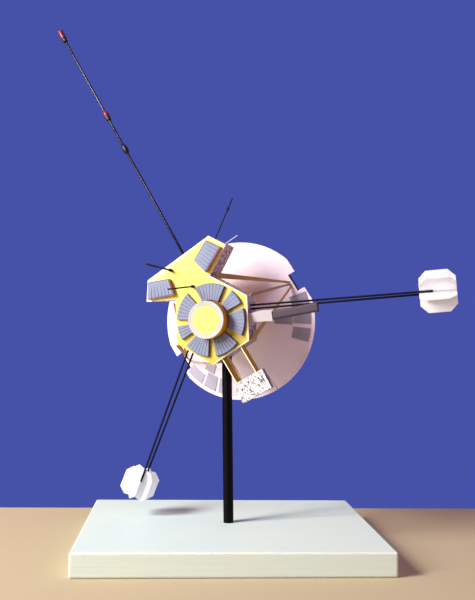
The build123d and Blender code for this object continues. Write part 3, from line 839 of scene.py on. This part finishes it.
class FinishStruts(ProbeOperator, bpy.types.Operator):
    """Give the strut tripods their tan card"""

    bl_idname = "probe.finish_struts"
    bl_label = "Finish the struts"

    def execute(self, context):
        colours = context.scene.probe_colours
        for name, tint, mottle, roughness, nodes in [
            ("strut_tan", colours.strut, 0.35, 0.55, "left_upper left_middle right_upper right_lower"),
            ("strut_dull", STRUT_DULL, 0.35, 0.6, "right_middle"),
            # Painted light on the lower left strut, which is lit
            ("strut_painted_light", colours.strut_lit, 0.3, 0.6, "left_lower"),
        ]:
            card = card_finish(name, tint, mottle=mottle, specks=0.3, roughness=roughness)
            card.put_on(*(f"strut_{node}" for node in nodes.split()))
        return {"FINISHED"}


class FinishFeed(ProbeOperator, bpy.types.Operator):
    """Give the feed, its horn and its struts their white paint"""

    bl_idname = "probe.finish_feed"
    bl_label = "Finish the feed"

    def execute(self, context):
        colours = context.scene.probe_colours
        feed = card_finish("feed_white", colours.dish, mottle=0.15, specks=0.25, roughness=0.5)
        feed.put_on("feed_box", "feed_horn", "feed_strut_1", "feed_strut_2", "feed_strut_3")
        return {"FINISHED"}


# How far light spreads in the thin white card of the fins
FIN_GLOW = {"Subsurface Weight": 0.9, "Subsurface Radius": (1.0, 0.9, 1.0), "Subsurface Scale": 0.008}
WIRE_GRAIN = srgb(20, 13, 34)
WIRE_WORN = srgb(60, 50, 62)
WHIP_PALE = srgb(186, 166, 176)


class FinishGenerators(ProbeOperator, bpy.types.Operator):
    """Give the finned generators their white card and the booms their painted wire"""

    bl_idname = "probe.finish_generators"
    bl_label = "Finish the generators and booms"

    def execute(self, context):
        colours = context.scene.probe_colours
        fins = card_finish("generator_white", colours.generator, specks=0.15)
        for key, value in FIN_GLOW.items():
            fins.shader.inputs[key].default_value = value
        fins.put_on("generator_left", "generator_right")
        wire = Finish("boom_black", roughness=0.45, specular=0.12)
        tree = wire.tree
        grain = noise(tree, wire.mm, 0.5, 4, 0.6)
        worn = fade(tree, noise(tree, wire.mm, 0.12, 4, 0.6), 0.62, 0.74)
        tone = blend(tree, fade(tree, grain, 0.3, 0.7), colours.boom, WIRE_GRAIN)
        wire.colour(blend(tree, times(tree, worn, 0.25), tone, WIRE_WORN))
        wire.roughness(fade(tree, grain, 0.3, 0.7, 0.4, 0.55))
        wire.relief(grain, 0.01)
        wire.put_on("boom_left_a", "boom_left_b", "boom_right_a", "boom_right_b")
        wire.put_on("pin_bay", "pin_deck", "whip_long")
        pale = card_finish("whip_pale", WHIP_PALE, mottle=0.2, specks=0.2, roughness=0.4, dust=0.15)
        pale.put_on("whip_short")
        return {"FINISHED"}


# The cap stops short of its solid's end, because it is thicker; a bead is longer than its solid
CAP_CLEAR = 1.2 * MM
BEAD_STRETCH = 1.2
# Rounding of the rims
ROD_ROUND, CAP_ROUND, BEAD_ROUND, COLLAR_ROUND = 0.2 * MM, 1.8 * MM, 0.1 * MM, 0.6 * MM
# Dark collars: length, radius as a share of the bead's thickness, and the upper one's distance from the cap
COLLAR_LENGTH = 4.0 * MM
COLLAR_SHARE = 0.42
COLLAR_DROP = 1.5 * MM
# A bead's half length before its tips are cut off, as a share of its length
SPINDLE_SHARE = 0.56
GLOSS_BARE = srgb(24, 17, 38)
RED_DARK = srgb(92, 18, 36)
BLACK_BEAD, BLACK_DARK = srgb(24, 18, 28), srgb(10, 8, 12)


class PaintBoom(ProbeOperator, bpy.types.Operator):
    """Give the magnetometer boom its coat of paint, its cap, its beads and their dark collars"""

    bl_idname = "probe.paint_boom"
    bl_label = "Paint the magnetometer boom"

    def put(self, piece, name):
        """The piece in a solid's place."""
        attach(piece, "root")
        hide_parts(name)

    def smooth(self, piece, bevel):
        """Round a piece's sharp rims and shade it smooth."""
        bpy.ops.object.mode_set(mode="OBJECT")
        bpy.ops.object.modifier_add(type="BEVEL")
        rounding = piece.modifiers[-1]
        rounding.width = bevel
        rounding.segments = 4
        rounding.limit_method = "ANGLE"
        bpy.ops.object.modifier_apply(modifier=rounding.name)
        bpy.ops.object.shade_smooth_by_angle(angle=radians(50))
        return piece

    def turned(self, name, length, radius, bevel):
        """A round piece with flat ends, its length along z."""
        piece = start_piece(
            name, bpy.ops.mesh.primitive_cylinder_add, vertices=32, radius=radius, depth=length,
            end_fill_type="NGON",
        )
        pick_faces(lambda middle: abs(middle.z) > length * 0.45)
        bpy.ops.mesh.inset(thickness=radius * 0.3, depth=0)
        return self.smooth(piece, bevel)

    def spindle(self, length, radius):
        """A bead that swells in the middle, its length along z."""
        sphere = bpy.ops.mesh.primitive_uv_sphere_add
        piece = start_piece("bead", sphere, segments=32, ring_count=20, radius=1)
        bpy.ops.transform.resize(value=(radius, radius, length * SPINDLE_SHARE))
        for side in (-1, 1):
            bpy.ops.mesh.select_all(action="SELECT")
            bpy.ops.mesh.bisect(
                plane_co=(0, 0, side * length / 2), plane_no=(0, 0, side), use_fill=True, clear_outer=True
            )
        return self.smooth(piece, BEAD_ROUND)

    def gloss(self, colours):
        """Glossy paint of the rod, in patches."""
        paint = Finish("boom_gloss", roughness=0.4, specular=0.06, coat=0.4, coat_roughness=0.05)
        tree = paint.tree
        bare = fade(tree, streaks(tree, paint.mm, (0.8, 0.12, 0.8), 4, 0.6), 0.45, 0.65)
        paint.colour(blend(tree, bare, colours.boom, GLOSS_BARE))
        paint.roughness(fade(tree, bare, 0.0, 1.0, 0.42, 0.34))
        return paint

    def bead_paint(self, name, dark, tint):
        paint = Finish(name, roughness=0.45, coat=0.15, specular=0.3)
        tree = paint.tree
        clouds = noise(tree, paint.mm, 0.5, 4, 0.6)
        paint.colour(blend(tree, fade(tree, clouds, 0.35, 0.65), dark, tint))
        paint.roughness(fade(tree, clouds, 0.3, 0.7, 0.38, 0.55))
        paint.relief(clouds, 0.1)
        return paint

    def execute(self, context):
        colours, sizes = context.scene.probe_colours, context.scene.probe_sizes
        root, tip = rod_ends("mag_boom")
        ahead = (tip - root).normalized()

        def reach(name):
            along_rod = [(vertex.co - root).dot(ahead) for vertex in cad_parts[name].data.vertices]
            return min(along_rod), max(along_rod)

        def on_rod(distance):
            return along_line(root + ahead * distance, ahead)

        gloss = self.gloss(colours)
        red = self.bead_paint("bead_red", RED_DARK, colours.bead)
        black = self.bead_paint("bead_black", BLACK_DARK, BLACK_BEAD)

        length = (tip - root).length
        rod = self.turned("boom_rod", length, sizes.boom_thick / 2, ROD_ROUND)
        settle(rod, on_rod(length / 2))
        self.put(gloss.cover(rod), "mag_boom")
        cap_start, cap_end = reach("mag_sensor")
        cap_end -= CAP_CLEAR
        cap = self.turned("boom_cap", cap_end - cap_start, sizes.bead_thick / 2, CAP_ROUND)
        settle(cap, on_rod((cap_start + cap_end) / 2))
        self.put(red.cover(cap), "mag_sensor")

        red_low, red_high = reach("bead_red")
        spindle = self.spindle((red_high - red_low) * BEAD_STRETCH, sizes.bead_thick / 2)
        for name, paint in (("bead_red", red), ("bead_black", black)):
            bead = copy_piece(spindle, on_rod(sum(reach(name)) / 2))
            bead.name = name + "_spindle"
            self.put(paint.cover(bead), name)
        collar = self.turned("collar", COLLAR_LENGTH, sizes.bead_thick * COLLAR_SHARE, COLLAR_ROUND)
        for name, distance in (("cap_collar", cap_start - COLLAR_DROP), ("bead_collar", red_low)):
            ring = copy_piece(collar, on_rod(distance))
            ring.name = name
            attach(black.cover(ring), "root")
        for pattern in (spindle, collar):
            bpy.data.objects.remove(pattern)
        return {"FINISHED"}


# Painted shade: the sensor's white card is greyed for the partial shade it lies in
SENSOR_WHITE_SHADED = srgb(204, 198, 204)
SHADE_GREY = srgb(74, 60, 72)


class FinishSensor(ProbeOperator, bpy.types.Operator):
    """Give the star sensor and its long shade their card"""

    bl_idname = "probe.finish_sensor"
    bl_label = "Finish the star sensor"

    def execute(self, context):
        card_finish("sensor_white", SENSOR_WHITE_SHADED, mottle=0.15, specks=0.2).put_on("star_sensor")
        card_finish("shade_grey", SHADE_GREY, mottle=0.25, specks=0.3, dust=0.05).put_on("sensor_shade")
        return {"FINISHED"}


# Pale aft faces of the rails: the card's cut edge, with painted light on it
RAIL_EDGE_LIT = srgb(250, 236, 190)
FOIL_WHITE = srgb(238, 232, 234)
# Painted shade for the foil box's side
FOIL_PAINTED_SHADE = srgb(150, 126, 146)
FOIL_CREASE = srgb(34, 30, 40)


class FinishBracket(ProbeOperator, bpy.types.Operator):
    """Give the bracket its gold rails and its foil box"""

    bl_idname = "probe.finish_bracket"
    bl_label = "Finish the bracket"

    def execute(self, context):
        colours = context.scene.probe_colours
        rail = card_finish("rail_gold", colours.rail, mottle=0.9, specks=0.5, front=RAIL_EDGE_LIT, dust=0.0)
        rail.put_on("rail_left", "rail_right")
        box = Finish("foil_white", roughness=0.45, specular=0.45)
        tree = box.tree
        folds = streaks(tree, box.mm, (0.55, 0.22, 0.55), 3, 0.6, 0.8)
        creases = fade(tree, apart(tree, folds, 0.5), 0.015, 0.055, 1.0, 0.0)
        broken = fade(tree, streaks(tree, box.mm, (0.5, 0.3, 0.5), 3, 0.7), 0.42, 0.52)
        strokes = times(tree, creases, broken)
        card = effect(tree, "Card surface", vector=box.mm, colour=FOIL_WHITE, mottle=0.2, specks=0.3)
        # Painted shade: the side that faces along the craft's x axis is darkened, as it lies in shade
        shaded_side = fade(tree, facing(tree, side_axis), 0.6, 0.8)
        plain = blend(tree, shaded_side, card["Colour"], FOIL_PAINTED_SHADE)
        box.colour(blend(tree, strokes, plain, FOIL_CREASE))
        box.roughness(card["Roughness"])
        box.relief(minus(tree, folds, times(tree, strokes, 0.3)), 0.5)
        box.put_on("foil_box")
        return {"FINISHED"}


# Stage

CAMERA_PLACE = Vector((-0.04023, -0.64039, 0.16366))
CAMERA_YAW, CAMERA_PITCH, CAMERA_ROLL = radians(-3.976), radians(2.719), radians(0.980)
FLOOR_WIDTH, FLOOR_DEPTH, FLOOR_BACK = 1.6, 0.9, 0.137
FLOOR_GRAIN = srgb(190, 172, 142)
LIT_PLACE = Vector((0, 0, 0.15))


class LayStage(ProbeOperator, bpy.types.Operator):
    """Lay the floor and set the lights and the camera"""

    bl_idname = "probe.lay_stage"
    bl_label = "Lay the stage"

    def execute(self, context):
        stage = context.scene.probe_stage
        bpy.ops.mesh.primitive_plane_add(size=1)
        floor = context.object
        floor.name = "floor"
        bpy.ops.object.mode_set(mode="EDIT")
        bpy.ops.transform.resize(value=(FLOOR_WIDTH, FLOOR_DEPTH, 1))
        bpy.ops.transform.translate(value=(0, FLOOR_BACK - FLOOR_DEPTH / 2, 0))
        bpy.ops.object.mode_set(mode="OBJECT")
        paper = Finish("floor_paper", on_craft=False, roughness=0.8, specular=0.2)
        tree = paper.tree
        grain = noise(tree, paper.mm, 0.5, 5, 0.6)
        paper.colour(blend(tree, fade(tree, grain, 0.3, 0.7), stage.floor, FLOOR_GRAIN))
        paper.relief(grain, 0.08)
        floor.data.materials.append(paper.material)

        warm, cool, soft = (1.0, 1.0, 0.95), (0.93, 0.90, 1.0), (1.0, 0.98, 0.94)
        # Name, way the light travels, distance, power, width, height, colour, whether it is seen or reflected
        for light_name, travel, far, power, width, height, tint, seen in [
            ("key_light", (0.774, 0.297, -0.559), 1.6, stage.key_power, 0.45, 0.45, warm, True),
            ("window_light", (0.811, 0.507, -0.292), 1.6, stage.window_power, 0.45, 0.40, warm, True),
            ("side_light", (-0.97, 0.12, -0.20), 1.8, stage.side_power, 1.0, 1.0, cool, True),
            ("rear_light", spin_axis, 1.6, stage.rear_power, 0.9, 0.5, soft, False),
        ]:
            travel = Vector(travel).normalized()
            turn = travel.to_track_quat("-Z", "Y").to_euler()
            bpy.ops.object.light_add(type="AREA", location=LIT_PLACE - travel * far, rotation=turn)
            light = context.object
            light.name = light_name
            light.visible_camera = light.visible_glossy = seen
            light.data.energy = power
            light.data.shape = "RECTANGLE"
            light.data.size = width
            light.data.size_y = height
            light.data.color = tint

        world = context.scene.world or bpy.data.worlds.new("studio")
        context.scene.world = world
        world.use_nodes = True
        tree = world.node_tree
        tree.nodes.clear()
        fill, backdrop = [
            add_node(tree, "ShaderNodeBackground", {"Color": colour, "Strength": strength}).outputs[0]
            for colour, strength in ((stage.fill, stage.fill_strength), (stage.backdrop, 1.0))
        ]
        ray = add_node(tree, "ShaderNodeLightPath").outputs["Is Camera Ray"]
        both = add_node(tree, "ShaderNodeMixShader", {0: ray, 1: fill, 2: backdrop})
        add_node(tree, "ShaderNodeOutputWorld", {0: both.outputs[0]})

        ahead = Vector((
            -sin(CAMERA_YAW) * cos(CAMERA_PITCH), cos(CAMERA_YAW) * cos(CAMERA_PITCH), sin(CAMERA_PITCH),
        ))
        level = Vector((cos(CAMERA_YAW), sin(CAMERA_YAW), 0))
        above = level.cross(ahead)
        right = level * cos(CAMERA_ROLL) + above * sin(CAMERA_ROLL)
        up = above * cos(CAMERA_ROLL) - level * sin(CAMERA_ROLL)
        turn = Matrix((right, up, -ahead)).transposed()
        bpy.ops.object.camera_add(location=CAMERA_PLACE, rotation=turn.to_euler())
        camera = context.object
        camera.name = "camera"
        camera.data.sensor_fit = "VERTICAL"
        camera.data.sensor_height = 36
        camera.data.lens = stage.lens
        camera.data.clip_start = 0.01
        context.scene.camera = camera
        context.scene.view_settings.view_transform = "Standard"
        return {"FINISHED"}


STEPS = (
    FinishStand, FinishDecks, FinishBus, FinishRing, FinishLouvers, RaiseBlades, FinishDish, FinishStruts,
    FinishFeed, FinishGenerators, PaintBoom, FinishSensor, FinishBracket, LayStage,
)


class ProbePanel(bpy.types.Panel):
    """The model's steps and settings in the 3D view's sidebar"""

    bl_idname = "VIEW3D_PT_probe"
    bl_label = "Card space probe"
    bl_space_type = "VIEW_3D"
    bl_region_type = "UI"
    bl_category = "Probe"

    def draw(self, context):
        layout = self.layout
        for step in STEPS:
            layout.operator(step.bl_idname)
        for group in SETTINGS:
            settings = getattr(context.scene, group)
            box = layout.box()
            for name in settings.__annotations__:
                box.prop(settings, name)


SETTINGS = {"probe_colours": ProbeColours, "probe_sizes": ProbeSizes, "probe_stage": ProbeStage}
CLASSES = (*SETTINGS.values(), *STEPS, ProbePanel)


def register():
    for each in CLASSES:
        bpy.utils.register_class(each)
    for name, settings in SETTINGS.items():
        setattr(bpy.types.Scene, name, PointerProperty(type=settings))


def unregister():
    for name in SETTINGS:
        delattr(bpy.types.Scene, name)
    for each in reversed(CLASSES):
        bpy.utils.unregister_class(each)


def main():
    register()
    bpy.ops.object.select_all(action="DESELECT")
    for step in STEPS:
        family, call = step.bl_idname.split(".")
        getattr(getattr(bpy.ops, family), call)()
        bpy.ops.object.select_all(action="DESELECT")


if __name__ == "__main__":
    main()
